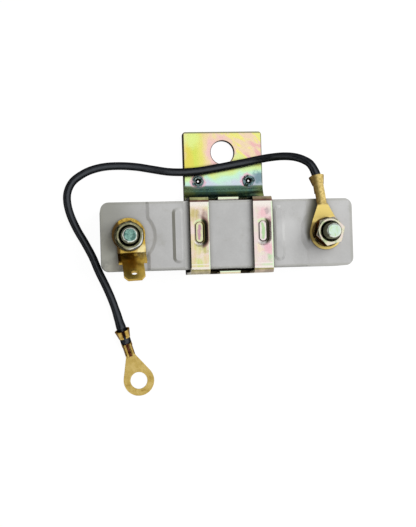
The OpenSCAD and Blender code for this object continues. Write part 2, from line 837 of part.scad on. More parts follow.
// The strands from the end of the insulation to the end of the conductor crimp
module strands(tongue_l, lift) {
    translate([0, tongue_l + insulation_start, strand_axis - lift]) rotate([90, 0, 0])
        cylinder(d = strand_d, h = insulation_start);
}

// Places a terminal on the right stud, turned over so that its smooth side shows
module on_stud() {
    translate([stud_x + stud_ring_x, stud_ring_y, pad_z + ring_t])
        rotate([0, 0, stud_terminal_turn]) rotate([0, 180, 0]) children();
}

// Places a terminal at the free end of the lead, flat on the surface
module at_free_end() {
    translate([free_ring_x, free_ring_y, 0]) rotate([0, 0, free_terminal_turn]) children();
}

module stud_ring_terminal() {
    color("goldenrod") on_stud()
        ring_terminal(stud_ring_d, stud_ring_hole_d / 2, stud_tongue_l, tongue_lift);
}

module stud_end_strands() {
    color("sienna") on_stud() strands(stud_tongue_l, tongue_lift);
}

module free_ring_terminal() {
    color("goldenrod") at_free_end()
        ring_terminal(ring_d, stud_hole_r, free_tongue_l, 0);
}

module free_end_strands() {
    color("sienna") at_free_end() strands(free_tongue_l, 0);
}

// Lead

module lead_insulation() {
    color("black") tube(lead_path, lead_r, lead_sides, [0, 0, 1]);
}

ceramic_body();
cement_filling();
resistance_coil();
left_coil_lug();
right_coil_lug();
left_stud();
right_stud();
bracket();
blade_terminal();
left_spring_washer();
left_nut();
stud_ring_terminal();
right_spring_washer();
right_nut();
stud_end_strands();
lead_insulation();
free_end_strands();
free_ring_terminal();
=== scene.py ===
"""Ballast resistor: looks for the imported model, in metres, in the part's own frame."""

import math

import bpy
from mathutils import Matrix, Vector


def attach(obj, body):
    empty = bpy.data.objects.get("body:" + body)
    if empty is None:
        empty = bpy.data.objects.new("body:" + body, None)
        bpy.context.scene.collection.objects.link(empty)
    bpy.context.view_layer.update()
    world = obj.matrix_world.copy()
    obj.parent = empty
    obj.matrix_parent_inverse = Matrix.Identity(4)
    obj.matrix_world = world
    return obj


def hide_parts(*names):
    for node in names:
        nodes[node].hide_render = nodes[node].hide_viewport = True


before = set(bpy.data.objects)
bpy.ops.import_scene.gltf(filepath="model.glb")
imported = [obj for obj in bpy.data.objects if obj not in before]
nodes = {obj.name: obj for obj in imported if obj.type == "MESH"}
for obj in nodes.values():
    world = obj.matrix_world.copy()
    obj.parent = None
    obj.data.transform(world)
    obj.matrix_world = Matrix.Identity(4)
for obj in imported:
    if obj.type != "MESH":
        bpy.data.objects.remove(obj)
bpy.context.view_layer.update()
scene = bpy.context.scene
scene.view_settings.view_transform = "Standard"

MM = 0.001

# Places on the part, in millimetres, and turns of the terminals, in degrees
STUD_X, STUD_END = 30.5, 23.7
HEAD_LOW, HEAD_TOP, HEAD_FLATS = 6.8, 10.3, 8.0
STUD_RING, STUD_RING_TURN = (30.3, -0.25), 7.5
FREE_RING, FREE_RING_TURN = (-27.9, -44.7), 17
HOLE = (0.6, 26.75)
CLINCHES = [(-7.5, 17.55), (8.7, 17.55)]

# Where the insulation ends in each terminal and where it leaves it, from the ring's centre, and its height
STUD_INNER, STUD_MOUTH, STUD_LEAD_Z = 13.1, 17.63, 14.1
FREE_INNER, FREE_MOUTH, FREE_LEAD_Z = 12.3, 16.83, 1.8


# Camera


def make_camera():
    """A camera above the front face, turned a little to the left, as in the photograph."""
    yaw, pitch, roll = 0.12777, -0.01702, 0.0298
    offset = Vector((-4.55, -8.62, 300.0)) * MM
    focal_px, image_h, sensor = 938.0, 527.0, 36.0
    turn = (
        Matrix.Rotation(roll, 3, "Z")
        @ Matrix.Rotation(pitch, 3, "X")
        @ Matrix.Rotation(yaw, 3, "Y")
    ).transposed()
    data = bpy.data.cameras.new("camera")
    data.sensor_width = sensor
    data.lens = focal_px / image_h * sensor
    data.clip_start = 0.01
    camera = bpy.data.objects.new("camera", data)
    camera.matrix_world = Matrix.Translation(turn @ offset) @ turn.to_4x4()
    scene.collection.objects.link(camera)
    scene.camera = camera


# Node trees


class Graph:
    """A node tree that is built up one node at a time. Places are in millimetres."""

    def __init__(self, name):
        self.material = bpy.data.materials.new(name)
        self.material.use_nodes = True
        self.tree = self.material.node_tree
        self.shader = self.tree.nodes["Principled BSDF"]
        here = self.add("ShaderNodeTexCoord").outputs
        self.place = self.vector("SCALE", here["Object"], scale=1000.0)
        split = self.add("ShaderNodeSeparateXYZ", {"Vector": self.place})
        self.x, self.y, self.z = split.outputs
        facing = self.add("ShaderNodeSeparateXYZ", {"Vector": here["Normal"]})
        self.to_x, self.to_y, self.to_z = facing.outputs

    def add(self, kind, inputs=None, **settings):
        node = self.tree.nodes.new(kind)
        for key, value in settings.items():
            setattr(node, key, value)
        for key, value in (inputs or {}).items():
            self.put(node.inputs[key], value)
        return node

    def put(self, socket, value):
        if isinstance(value, bpy.types.NodeSocket):
            self.tree.links.new(value, socket)
        elif socket.type == "RGBA" and len(value) == 3:
            socket.default_value = (*value, 1.0)
        else:
            socket.default_value = value

    def set(self, **values):
        """Sets or links the shader's own sockets; an underscore stands for a space."""
        for key, value in values.items():
            self.put(self.shader.inputs[key.replace("_", " ")], value)

    def vector(self, operation, a, b=None, scale=None):
        node = self.add("ShaderNodeVectorMath", {0: a}, operation=operation)
        if b is not None:
            self.put(node.inputs[1], b)
        if scale is not None:
            self.put(node.inputs["Scale"], scale)
        return node.outputs["Value" if operation in ("LENGTH", "DISTANCE") else "Vector"]

    def math(self, operation, a, b=None, clamp=False):
        node = self.add("ShaderNodeMath", {0: a}, operation=operation, use_clamp=clamp)
        if b is not None:
            self.put(node.inputs[1], b)
        return node.outputs[0]

    def noise(self, scale, detail=3.0, rough=0.5, distortion=0.0, place=None):
        """Noise from 0 to 1; scale is in cycles to the millimetre."""
        node = self.add(
            "ShaderNodeTexNoise",
            {
                "Vector": place or self.place,
                "Scale": scale,
                "Detail": detail,
                "Roughness": rough,
                "Distortion": distortion,
            },
        )
        return node.outputs["Fac"]

    def streaks(self, angle, scale, stretch):
        """Noise drawn out along a direction in the XY plane, given in degrees."""
        node = self.add("ShaderNodeMapping", {"Vector": self.place}, vector_type="TEXTURE")
        node.inputs["Rotation"].default_value = (0, 0, math.radians(angle))
        node.inputs["Scale"].default_value = (stretch, 1, 1)
        return self.noise(scale, 3.0, 0.55, 0.4, node.outputs["Vector"])

    def reach(self, x, y):
        """Distance from an upright axis, in millimetres."""
        return self.vector("DISTANCE", self.vector("MULTIPLY", self.place, (1, 1, 0)), (x, y, 0))

    def across(self, centre, turned):
        """Distance to the right of a terminal's middle line, in millimetres."""
        angle = math.radians(turned)
        east = self.math("MULTIPLY", self.math("ADD", self.x, -centre[0]), math.cos(angle))
        north = self.math("MULTIPLY", self.math("ADD", self.y, -centre[1]), math.sin(angle))
        return self.math("ADD", east, north)

    def step(self, value, low, high, start=0.0, end=1.0):
        """A smooth rise from start to end as the value goes from low to high."""
        node = self.add(
            "ShaderNodeMapRange",
            {
                "Value": value,
                "From Min": low,
                "From Max": high,
                "To Min": start,
                "To Max": end,
            },
            interpolation_type="SMOOTHSTEP",
        )
        return node.outputs["Result"]

    def ramp(self, value, stops):
        node = self.add("ShaderNodeValToRGB", {"Fac": value})
        ramp = node.color_ramp
        ramp.interpolation = "EASE"
        while len(ramp.elements) < len(stops):
            ramp.elements.new(1.0)
        for element, (position, colour) in zip(ramp.elements, stops):
            element.position = position
            element.color = (*colour, 1.0)
        return node.outputs["Color"]

    def mix(self, factor, a, b, blend="MIX"):
        node = self.add("ShaderNodeMix", data_type="RGBA", blend_type=blend)
        self.put(node.inputs[0], factor)
        colours = [s for s in node.inputs if s.type == "RGBA"]
        self.put(colours[0], a)
        self.put(colours[1], b)
        return next(s for s in node.outputs if s.type == "RGBA")

    def within(self, value, low, high, soft):
        """A soft window: 1 between low and high, 0 outside."""
        rise = self.step(value, low - soft, low + soft)
        return self.math("MULTIPLY", rise, self.step(value, high + soft, high - soft))

    def both(self, *masks):
        total = masks[0]
        for mask in masks[1:]:
            total = self.math("MULTIPLY", total, mask)
        return total

    def either(self, *masks):
        total = masks[0]
        for mask in masks[1:]:
            total = self.math("MAXIMUM", total, mask)
        return total

    def shade(self, distance):
        """Openness of the surface, from 0 in a crevice to 1 in the open."""
        node = self.add("ShaderNodeAmbientOcclusion", {"Distance": distance * MM}, samples=8)
        return node.outputs["AO"]

    def spot(self, colour, x, y, size, tint, amount=1.0):
        """Mixes a soft, uneven spot into a colour."""
        away = self.math("ADD", self.reach(x, y), self.step(self.noise(0.7), 0.3, 0.7, -0.5, 0.5))
        return self.mix(self.step(away, size, 0.3 * size, 0.0, amount), colour, tint)

    def bump(self, height, depth):
        """A bump; depth is in millimetres."""
        node = self.add("ShaderNodeBump", {"Height": height, "Distance": depth * MM})
        self.put(self.shader.inputs["Normal"], node.outputs["Normal"])


def ceramic():
    """Grey steatite with stains, with painted shade on its steps and beside what stands on it, and painted
    light in pale places.
    """
    g = Graph("ceramic")
    on_front = g.step(g.z, 13.4, 13.8)
    off_x = g.math("ABSOLUTE", g.x)
    off_y = g.math("ABSOLUTE", g.y)
    cloud = g.noise(0.1, 4.0, 0.55)
    grain = g.noise(2.2, 4.0, 0.65)
    tone = g.math("ADD", g.math("MULTIPLY", cloud, 0.7), g.math("MULTIPLY", grain, 0.3))
    grey = g.ramp(tone, [(0.3, (0.48, 0.48, 0.475)), (0.7, (0.57, 0.57, 0.565))])
    stain = g.step(g.noise(0.16, 5.0, 0.65), 0.54, 0.75, 0.0, 0.45)
    colour = g.mix(stain, grey, (0.36, 0.355, 0.31))

    # Painted shade on the flanks of the steps and ribs, lightened further out; the lit faces of the right
    # step painted darker; a painted shadow beside the right strap; and a painted shade along the border
    flank = g.either(g.step(g.to_x, -0.15, -0.5), g.step(g.math("ABSOLUTE", g.to_y), 0.3, 0.8))
    flank = g.both(flank, on_front, g.step(off_y, 9.9, 9.5))
    right_part = g.step(g.x, 10.0, 12.0)
    outer = g.either(g.step(off_x, 18.0, 19.0), right_part)
    shadow = g.mix(outer, (0.26, 0.255, 0.21), (0.62, 0.62, 0.6))
    shadow = g.mix(right_part, shadow, (0.76, 0.76, 0.74))
    colour = g.mix(g.math("MULTIPLY", flank, 0.8), colour, shadow)
    lit_step = g.both(g.step(g.to_x, 0.08, 0.3), g.within(g.x, 14.5, 36.0, 0.5), on_front)
    colour = g.mix(lit_step, colour, (0.44, 0.44, 0.435))
    beside = g.both(g.within(g.x, 13.1, 13.75, 0.2), on_front)
    colour = g.mix(g.math("MULTIPLY", beside, 0.7), colour, (0.16, 0.15, 0.1))
    border_shade = g.either(g.step(off_x, 37.6, 38.3), g.step(off_y, 9.4, 9.9))
    colour = g.mix(g.math("MULTIPLY", border_shade, 0.3), colour, (0.33, 0.33, 0.27))
    # Painted shade: darker towards the left end, away from the light
    colour = g.mix(g.step(g.x, -23.0, -37.0, 0.0, 0.75), colour, (0.3, 0.3, 0.26))

    # The front alone: painted light in pale places, a painted shadow beside the ring terminal, and painted
    # light beside the left strap's side, where its shadow falls
    front = g.spot(colour, -36.0, -3.5, 6.5, (0.49, 0.49, 0.43), 0.9)
    front = g.spot(front, -35.3, -9.3, 3.0, (0.64, 0.63, 0.55), 0.9)
    front = g.spot(front, 18.5, 0.5, 6.0, (0.62, 0.62, 0.615), 0.7)
    ring_side = g.math("ADD", g.math("MULTIPLY", g.math("MAXIMUM", g.y, 0.0), 0.26), 25.0)
    from_ring = g.math("DIVIDE", g.math("SUBTRACT", ring_side, g.x), g.step(g.y, -3.0, 6.0, 1.0, 3.8))
    shaded = g.both(g.step(from_ring, 1.0, 0.05), g.step(from_ring, -0.4, -0.1), g.step(g.y, -3.5, -1.5))
    front = g.mix(shaded, front, (0.1, 0.095, 0.065))
    strap_side_light = g.within(g.x, -13.7, -12.3, 0.35)
    front = g.mix(strap_side_light, front, (0.64, 0.64, 0.625))
    colour = g.mix(on_front, colour, front)
    # Painted shade: darker in crevices and close beside other pieces, but not beside the left strap
    crevice = g.step(g.shade(2.5), 0.25, 0.9)
    crevice = g.either(crevice, g.both(strap_side_light, g.math("MULTIPLY", on_front, 0.8)))
    g.set(Base_Color=g.mix(crevice, (0.2, 0.195, 0.16), colour))
    g.set(Roughness=0.85, Specular_IOR_Level=0.2)
    g.bump(g.noise(5.0, 3.0, 0.6), 0.03)
    return g.material


def cement():
    g = Graph("cement")
    tone = g.noise(0.6, 6.0, 0.7)
    g.set(Base_Color=g.ramp(tone, [(0.3, (0.4, 0.38, 0.33)), (0.7, (0.62, 0.6, 0.54))]))
    g.set(Roughness=0.95)
    g.bump(g.noise(1.6, 6.0, 0.7), 0.25)
    return g.material


def tab_colour(g):
    """Thin-film colours over the tab, from yellow at the left to pink and mint."""
    along = g.step(g.x, -12.0, -2.6)
    drift = g.math("MULTIPLY", g.math("ADD", g.streaks(90, 0.3, 2.5), -0.5), 0.5)
    left = g.ramp(
        g.math("ADD", along, drift),
        [
            (0.0, (0.93, 0.72, 0.42)),
            (0.1, (0.84, 0.74, 0.13)),
            (0.32, (0.74, 0.82, 0.14)),
            (0.6, (0.87, 0.83, 0.2)),
            (0.85, (0.95, 0.76, 0.42)),
            (1.0, (0.96, 0.66, 0.56)),
        ],
    )
    left = g.spot(left, -9.2, 31.0, 4.0, (0.82, 0.95, 0.32), 0.9)
    right = g.ramp(
        g.streaks(-38, 0.3, 3.0),
        [
            (0.36, (0.93, 0.55, 0.52)),
            (0.46, (0.95, 0.74, 0.52)),
            (0.54, (0.96, 0.9, 0.26)),
            (0.66, (0.8, 0.9, 0.34)),
        ],
    )
    colour = g.mix(g.step(g.x, -1.0, -3.5), right, left)
    halo = g.step(g.math("ADD", g.reach(0.2, 27.2), g.step(g.noise(0.5), 0.3, 0.7, -0.6, 0.6)), 5.6, 4.2)
    colour = g.mix(g.math("MULTIPLY", halo, 0.8), colour, (0.95, 0.63, 0.6))
    slant = g.math("SUBTRACT", g.y, g.math("MULTIPLY", g.x, 0.13))
    drift = g.math("MULTIPLY", g.noise(0.16, 2.0, 0.5, 0.8), 0.6)
    low = g.ramp(
        g.math("ADD", drift, g.step(slant, 21.4, 16.4, 0.0, 0.5)),
        [
            (0.25, (0.86, 0.9, 0.26)),
            (0.42, (0.72, 0.95, 0.42)),
            (0.62, (0.62, 0.93, 0.72)),
            (0.82, (0.66, 0.74, 0.84)),
        ],
    )
    colour = g.mix(g.step(slant, 23.0, 21.6), colour, low)
    colour = g.spot(colour, 12.0, 18.4, 3.2, (0.15, 0.27, 0.31), 0.85)

    # The bend is painted with reflection and shade: teal above, with a lighter painted highlight band, and
    # dark green below, with olive ends
    streak = g.streaks(90, 0.3, 3.0)
    lower = g.ramp(
        streak, [(0.35, (0.06, 0.12, 0.1)), (0.5, (0.09, 0.17, 0.09)), (0.65, (0.15, 0.22, 0.075))]
    )
    upper = g.ramp(streak, [(0.35, (0.07, 0.15, 0.13)), (0.65, (0.1, 0.19, 0.125))])
    ends = g.either(g.step(g.x, -8.0, -11.0), g.step(g.x, 9.0, 12.6))
    lower = g.mix(g.math("MULTIPLY", ends, 0.85), lower, (0.21, 0.24, 0.075))
    upper = g.mix(g.math("MULTIPLY", ends, 0.85), upper, (0.17, 0.23, 0.1))
    bend_shade = g.mix(g.step(g.y, 13.9, 14.6), lower, upper)
    highlight_band = g.mix(1.0, upper, (3.0, 3.0, 3.0), "MULTIPLY")
    bend_shade = g.mix(g.within(g.y, 14.25, 15.15, 0.3), bend_shade, highlight_band)
    return g.mix(g.step(g.y, 16.5, 15.8), colour, bend_shade)


def strap_colour(g):
    """The straps are paler: yellow on the left one, pink on the right one, white at the top."""
    drift = g.math("MULTIPLY", g.noise(0.24, 3.0, 0.55, 0.6), 0.5)
    left = g.ramp(
        g.math("ADD", drift, 0.25),
        [(0.42, (0.78, 0.7, 0.34)), (0.5, (0.84, 0.68, 0.46)), (0.58, (0.88, 0.7, 0.64))],
    )
    left = g.spot(left, -10.6, 6.2, 2.6, (0.62, 0.52, 0.22), 0.9)
    left = g.spot(left, -7.6, 5.8, 2.3, (0.44, 0.32, 0.28), 0.9)
    left = g.spot(left, -9.6, -4.4, 2.4, (0.74, 0.7, 0.3), 0.9)
    left = g.spot(left, -7.9, -4.2, 1.7, (0.55, 0.53, 0.19), 0.9)
    left = g.spot(left, -9.4, -8.3, 2.4, (0.68, 0.74, 0.24), 0.9)
    right = g.ramp(
        g.math("ADD", drift, 0.25),
        [(0.42, (0.84, 0.78, 0.64)), (0.5, (0.88, 0.72, 0.7)), (0.58, (0.9, 0.58, 0.63))],
    )
    right = g.spot(right, 10.4, 6.2, 2.6, (0.92, 0.55, 0.6), 0.8)
    right = g.spot(right, 11.6, -4.6, 2.2, (0.88, 0.5, 0.58), 0.8)
    right = g.spot(right, 12.2, -7.3, 1.7, (0.5, 0.72, 0.42), 0.9)
    right = g.spot(right, 9.0, -4.6, 1.7, (0.94, 0.8, 0.54), 0.8)
    right = g.spot(right, 11.9, 6.6, 1.6, (0.5, 0.42, 0.43), 0.7)
    right = g.spot(right, 12.4, 4.0, 1.8, (0.5, 0.28, 0.3), 0.8)
    second = g.step(g.x, -0.1, 0.1)
    colour = g.mix(second, left, right)
    pale = g.step(g.streaks(90, 1.3, 14.0), 0.42, 0.64, 0.0, 0.28)
    pale = g.either(pale, g.step(g.y, 7.4, 9.2, 0.0, 0.9))
    pale = g.either(pale, g.math("MULTIPLY", g.within(g.y, -9.2, -8.9, 0.12), 0.8))
    pale = g.either(pale, g.step(g.y, -9.7, -9.9, 0.0, 0.8))
    colour = g.mix(pale, colour, (0.94, 0.89, 0.82))
    green = g.both(second, g.within(g.y, -9.8, -9.2, 0.2), g.step(g.x, 8.0, 11.0))
    colour = g.mix(g.math("MULTIPLY", green, 0.8), colour, (0.66, 0.84, 0.54))

    # Round each oval, painted light and shade: a painted shadow at its right, a white painted highlight
    # below it and a green painted glint above it
    across = g.math("ADD", g.x, g.math("SUBTRACT", 9.15, g.math("MULTIPLY", second, 19.5)))
    up = g.math("ADD", g.y, -0.75)
    past = g.math("MAXIMUM", g.math("ADD", g.math("ABSOLUTE", up), -2.05), 0.0)
    off = g.add("ShaderNodeCombineXYZ", {"X": across, "Y": past}).outputs["Vector"]
    ring = g.math("ADD", g.vector("LENGTH", off), -1.25)
    oval_highlight = g.within(ring, 0.1, 0.6, 0.25)
    colour = g.mix(g.both(oval_highlight, g.step(up, -2.4, -3.1)), colour, (0.97, 0.95, 0.9))
    above = g.both(oval_highlight, g.step(up, 2.2, 3.0), g.step(g.noise(1.2), 0.2, 0.5))
    colour = g.mix(above, colour, (0.7, 0.9, 0.5))
    first = g.math("SUBTRACT", 1.0, second)
    # Painted shade: dark brown on the right side of the left oval's rim
    tan = g.both(first, g.within(ring, -0.4, 0.5, 0.2), g.step(across, 0.2, 1.0))
    colour = g.mix(tan, colour, (0.2, 0.155, 0.05))
    # Painted shadow beside each oval's right side, black near it and mauve further out
    begin = g.math("SUBTRACT", ring, g.math("MULTIPLY", first, 0.3))
    aside = g.math("SUBTRACT", ring, g.math("MULTIPLY", first, 0.85))
    beside = g.both(g.step(begin, -0.45, 0.25), g.step(aside, 1.15, 0.45), g.step(across, 0.2, 1.2))
    shadow = g.mix(g.step(begin, 0.2, 1.1), (0.045, 0.05, 0.025), (0.24, 0.14, 0.12))
    colour = g.mix(beside, colour, shadow)

    # The floors of the ovals: pink on the left strap, green on the right one, with a pale rim
    floor = g.within(g.z, 15.45, 15.64, 0.03)
    ring = g.math("ADD", ring, g.step(g.streaks(90, 1.2, 3.0), 0.3, 0.7, -0.25, 0.25))
    middle = g.mix(second, (0.6, 0.36, 0.42), (0.5, 0.7, 0.4))
    edge = g.mix(second, (0.76, 0.78, 0.46), (0.88, 0.78, 0.76))
    return g.mix(floor, colour, g.mix(g.step(ring, -0.95, -0.6), middle, edge))


def plated_sheet():
    """Yellow passivated zinc: thin-film colours that drift over the sheet, with painted reflection,
    highlights and shade.
    """
    g = Graph("plated_sheet")
    colour = g.mix(g.step(g.y, 11.7, 12.3), strap_colour(g), tab_colour(g))
    clinch = g.math("MINIMUM", g.reach(*CLINCHES[0]), g.reach(*CLINCHES[1]))
    clinch = g.math("ADD", clinch, g.step(g.noise(1.0, 2.0, 0.5), 0.3, 0.7, -0.3, 0.3))
    pink = g.both(g.step(clinch, 2.8, 2.1), g.step(g.x, 10.4, 8.4, 0.1, 0.85))
    pink = g.math("MULTIPLY", pink, g.step(g.y, 15.6, 16.4, 0.15, 1.0))
    colour = g.mix(pink, colour, (0.9, 0.5, 0.62))
    colour = g.mix(g.step(clinch, 1.95, 1.75), colour, (0.16, 0.26, 0.28))

    # The webs and tongues are pink, yellow and green
    wall = g.both(g.step(g.math("ABSOLUTE", g.y), 10.7, 11.0), g.step(g.y, 12.3, 11.7))
    wall = g.both(wall, g.step(g.z, 15.0, 13.4))
    film = g.ramp(
        g.noise(0.2, 3.0, 0.55, 0.6),
        [(0.36, (0.86, 0.62, 0.5)), (0.48, (0.84, 0.72, 0.4)), (0.6, (0.72, 0.74, 0.36))],
    )
    colour = g.mix(g.math("MULTIPLY", wall, 0.8), colour, film)

    # The folds are painted with reflection and shade: a red-brown line at the straps' upper ends, then
    # olive; olive, then beige below, in uneven patches
    front = g.both(g.step(g.z, 8.0, 10.0), g.step(g.y, 11.9, 11.7))
    second = g.step(g.x, -0.1, 0.1)
    upper = g.mix(second, (0.36, 0.37, 0.15), (0.25, 0.19, 0.11))
    upper = g.mix(g.step(g.y, 10.35, 10.6), (0.15, 0.07, 0.05), upper)
    folded = g.both(front, g.step(g.z, 13.4, 14.6))
    upper_fold = g.both(folded, g.step(g.y, 9.8, 9.95))
    beige = g.mix(second, (0.5, 0.43, 0.26), (0.52, 0.41, 0.31))
    lower = g.mix(g.step(g.y, -10.9, -11.2), (0.36, 0.31, 0.13), beige)
    lower_fold = g.both(folded, g.step(g.y, -10.45, -10.6))
    painted_light_patches = g.ramp(g.noise(0.5, 3.0, 0.5), [(0.35, (0.75, 0.75, 0.75)), (0.65, (1.2, 1.2, 1.2))])
    colour = g.mix(upper_fold, colour, g.mix(1.0, upper, painted_light_patches, "MULTIPLY"))
    colour = g.mix(lower_fold, colour, g.mix(1.0, lower, painted_light_patches, "MULTIPLY"))
    # Painted highlight: a pale green line along the straps' right rims and on the lips, fainter beside the
    # left oval
    rim_highlight = g.either(g.within(g.x, -6.5, -6.2, 0.1), g.step(g.x, 12.85, 13.0))
    rim_highlight = g.both(rim_highlight, g.step(g.z, 15.7, 15.9), g.within(g.y, -10.4, 9.7, 0.15))
    faded = g.both(g.within(g.y, -2.6, 4.4, 0.8), g.step(g.x, 0.0, -1.0, 0.0, 0.75))
    rim_highlight = g.math("MULTIPLY", rim_highlight, g.math("SUBTRACT", 1.0, faded))
    lip = g.either(g.within(g.y, 10.95, 11.35, 0.1), g.within(g.y, -11.5, -11.1, 0.1))
    lip = g.both(lip, g.within(g.z, 13.4, 14.1, 0.1), g.within(g.x, -5.0, 6.2, 0.2))
    colour = g.mix(g.either(rim_highlight, lip), colour, (0.82, 0.96, 0.7))
    # Painted shade: thin dark lines along the tab's top and right edges
    end = g.either(g.step(g.y, 32.8, 32.95), g.step(g.x, 12.95, 13.1))
    end = g.math("MULTIPLY", end, g.step(g.y, 16.0, 17.0, 0.0, 0.85))
    colour = g.mix(end, colour, (0.18, 0.19, 0.15))

    # Painted shade: sheared edges, the drawn walls of the recesses and the floors of the notches are dark;
    # near the folds the sheared edges of the webs are painted beige instead, as lit
    left_edge = g.both(g.step(g.x, -11.55, -11.7), g.step(g.y, 15.6, 16.6))
    strap_edge = g.both(g.step(g.x, -11.8, -11.95), front)
    cut = g.step(g.math("ABSOLUTE", g.to_x), 0.55, 0.85)
    edge_shade = g.either(g.step(g.reach(*HOLE), 4.0, 3.85), left_edge, strap_edge, cut)
    lit_edge_zone = g.both(g.step(g.y, -11.2, -11.45), g.step(g.z, 3.5, 6.0))
    lit_edge_zone = g.either(lit_edge_zone, g.both(g.step(g.y, -9.9, -10.3), g.step(g.z, 11.0, 13.0)))
    colour = g.mix(g.both(edge_shade, lit_edge_zone), colour, (0.46, 0.4, 0.25))
    edge_shade = g.math("SUBTRACT", edge_shade, lit_edge_zone, clamp=True)
    drawn = g.both(g.step(g.y, -4.5, -4.0), g.step(g.y, 2.9, 3.7, 1.0, 0.25), g.step(g.y, 6.0, 5.5))
    tan_wall = g.math("MULTIPLY", g.within(g.x, -8.5, -7.2, 0.15), 0.8)
    drawn = g.both(drawn, g.within(g.z, 15.64, 15.95, 0.03), g.math("SUBTRACT", 1.0, tan_wall))
    notch_shade = g.both(g.within(g.z, 6.4, 7.0, 0.1), g.step(g.to_z, 0.2, 0.5))
    dark = g.either(edge_shade, notch_shade, drawn)
    colour = g.mix(dark, colour, (0.03, 0.024, 0.014))
    # Painted shade: darker in crevices
    crevice = g.step(g.shade(1.6), 0.3, 0.85)
    g.set(Base_Color=g.mix(crevice, (0.05, 0.04, 0.02), colour))
    g.set(Specular_Tint=g.mix(dark, (1, 1, 1), (0.08, 0.07, 0.05)))
    dull = g.math("SUBTRACT", g.either(upper_fold, lower_fold, g.both(cut, lit_edge_zone)), dark, clamp=True)
    ripple = g.noise(0.45, 3.0, 0.55, 1.2)
    g.set(Metallic=g.step(dull, 0.0, 1.0, 1.0, 0.25))
    g.set(Roughness=g.math("ADD", g.math("MULTIPLY", ripple, 0.12), 0.2))
    g.bump(g.noise(0.5, 2.0, 0.5), 0.003)
    return g.material


def plated_fastener():
    """The same plating on the turned pieces: olive at the left stud, cream at the right one, with painted
    shade and a painted gleam.
    """
    g = Graph("plated_fastener")
    tone = g.noise(0.5, 4.0, 0.6, 0.8)
    olive = g.ramp(
        tone, [(0.34, (0.14, 0.145, 0.08)), (0.52, (0.3, 0.29, 0.17)), (0.68, (0.5, 0.48, 0.35))]
    )
    out = g.reach(-STUD_X, 0)
    # Painted shade: darker beyond the nut's flats at the left stud
    olive = g.mix(g.step(out, 4.0, 4.2, 0.0, 0.8), olive, (0.06, 0.05, 0.03))
    # Painted highlight: a pale gleam on the left nut's rim towards the lower right
    gleam = g.both(g.within(out, 3.75, 4.2, 0.12), g.step(g.reach(-27.6, -2.6), 4.2, 2.2))
    olive = g.mix(gleam, olive, (0.74, 0.76, 0.72))
    cream = g.ramp(
        tone,
        [(0.34, (0.5, 0.6, 0.36)), (0.5, (0.82, 0.78, 0.58)), (0.66, (0.86, 0.74, 0.68))],
    )
    colour = g.mix(g.step(g.x, -1.0, 1.0), olive, cream)
    # Painted shade: the upright sides are dark brown
    side_shade = g.ramp(
        tone, [(0.38, (0.03, 0.024, 0.014)), (0.5, (0.16, 0.11, 0.045)), (0.62, (0.36, 0.24, 0.08))]
    )
    upright = g.either(g.step(g.to_z, 0.62, 0.4), g.step(g.z, 16.3, 16.0))
    colour = g.mix(upright, colour, side_shade)
    g.set(Specular_Tint=g.mix(upright, (1, 1, 1), (0.2, 0.15, 0.08)))
    # Painted shade: darker in crevices
    crevice = g.step(g.shade(1.2), 0.3, 0.85)
    g.set(Base_Color=g.mix(crevice, (0.05, 0.05, 0.033), colour))
    g.set(Metallic=1.0, Roughness=0.26)
    g.bump(g.noise(3.0, 3.0, 0.6), 0.012)
    return g.material


def stud_thread():
    """Threads of the studs, with a pale mint end at the right and a teal one at the left."""
    g = Graph("stud_thread")
    tone = g.noise(1.1, 4.0, 0.6, 0.8)
    flank = g.ramp(tone, [(0.35, (0.14, 0.13, 0.09)), (0.65, (0.34, 0.32, 0.22))])
    teal = g.ramp(tone, [(0.38, (0.08, 0.17, 0.15)), (0.55, (0.22, 0.42, 0.36)), (0.7, (0.4, 0.6, 0.52))])
    mint = g.ramp(tone, [(0.35, (0.6, 0.8, 0.48)), (0.55, (0.7, 0.88, 0.74)), (0.7, (0.72, 0.86, 0.86))])
    face = g.mix(g.step(g.x, -1.0, 1.0), teal, mint)
    colour = g.mix(g.step(g.z, STUD_END - 0.3, STUD_END - 0.2), flank, face)
    # Painted highlight on the end's chamfer, and painted shade on the thread round it
    rim = g.math("MINIMUM", g.reach(-STUD_X, 0), g.reach(STUD_X, 0))
    rim = g.math("ADD", rim, g.step(g.noise(1.4), 0.3, 0.7, -0.1, 0.1))
    colour = g.mix(g.within(rim, 1.85, 2.1, 0.06), colour, (0.86, 0.88, 0.82))
    colour = g.mix(g.step(rim, 2.1, 2.2), colour, (0.15, 0.155, 0.1))
    # Painted shade: darker in crevices
    crevice = g.step(g.shade(0.6), 0.3, 0.85)
    g.set(Base_Color=g.mix(crevice, (0.03, 0.03, 0.02), colour))
    g.set(Metallic=1.0, Roughness=0.3)
    g.bump(tone, 0.03)
    return g.material


